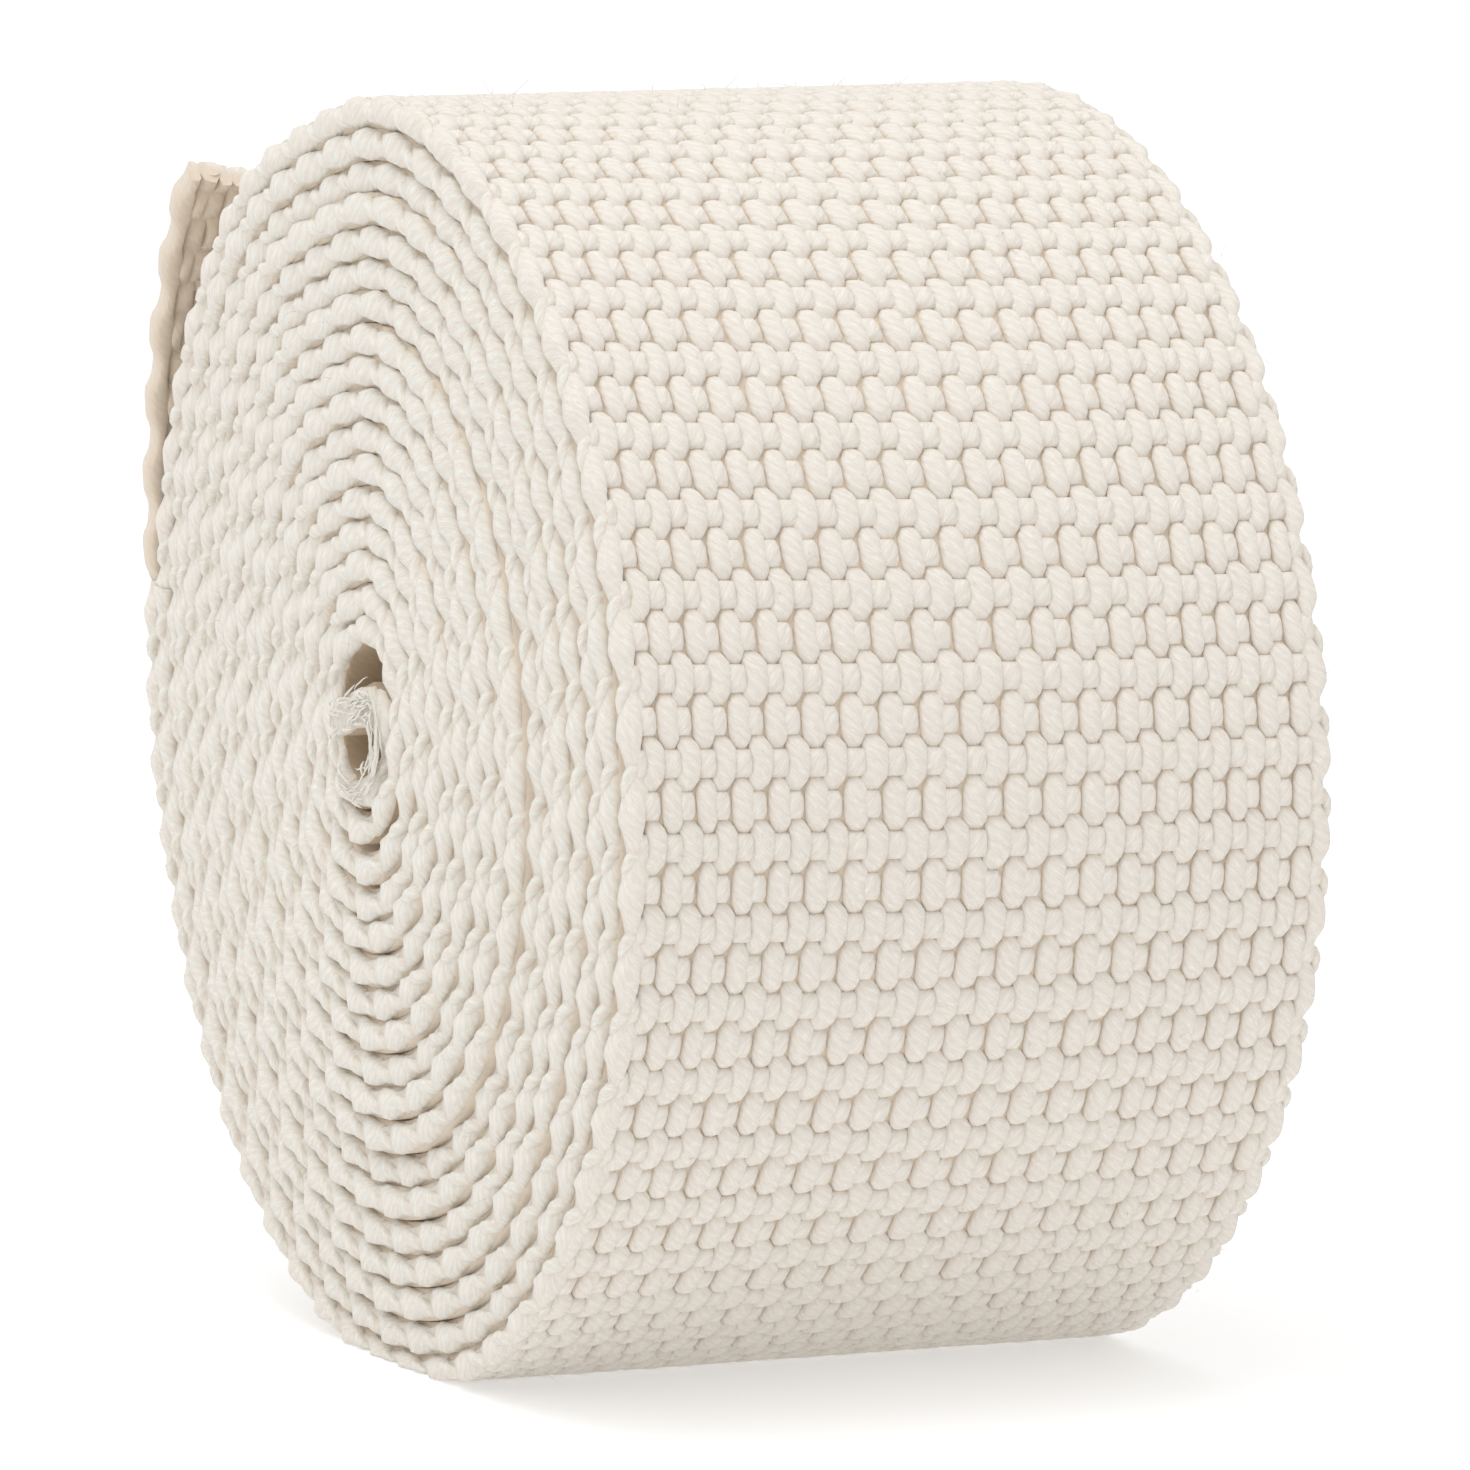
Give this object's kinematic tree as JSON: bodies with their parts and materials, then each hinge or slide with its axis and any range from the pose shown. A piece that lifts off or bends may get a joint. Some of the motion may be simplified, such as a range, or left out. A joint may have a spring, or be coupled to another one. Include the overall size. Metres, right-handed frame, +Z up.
{
  "type": "roll of cotton webbing",
  "caption": "Roll of plain woven natural cotton webbing, wound on itself with no core, standing on its rim with its outer end standing off at the back.",
  "frame": {"origin": "middle of the flat spot that the roll stands on, under its winding axis", "axes": "+X along the winding axis, from the end face that shows in the picture to the far one; +Y towards the back, where the outer end leaves; +Z up"},
  "size_m": [0.0395, 0.0659, 0.0644],
  "materials": {
    "cotton": "natural undyed cotton, matt plain weave with plied yarns"
  },
  "bodies": {
    "root": {"roll": "cotton", "loose_end": "cotton"}
  },
  "joints": []
}
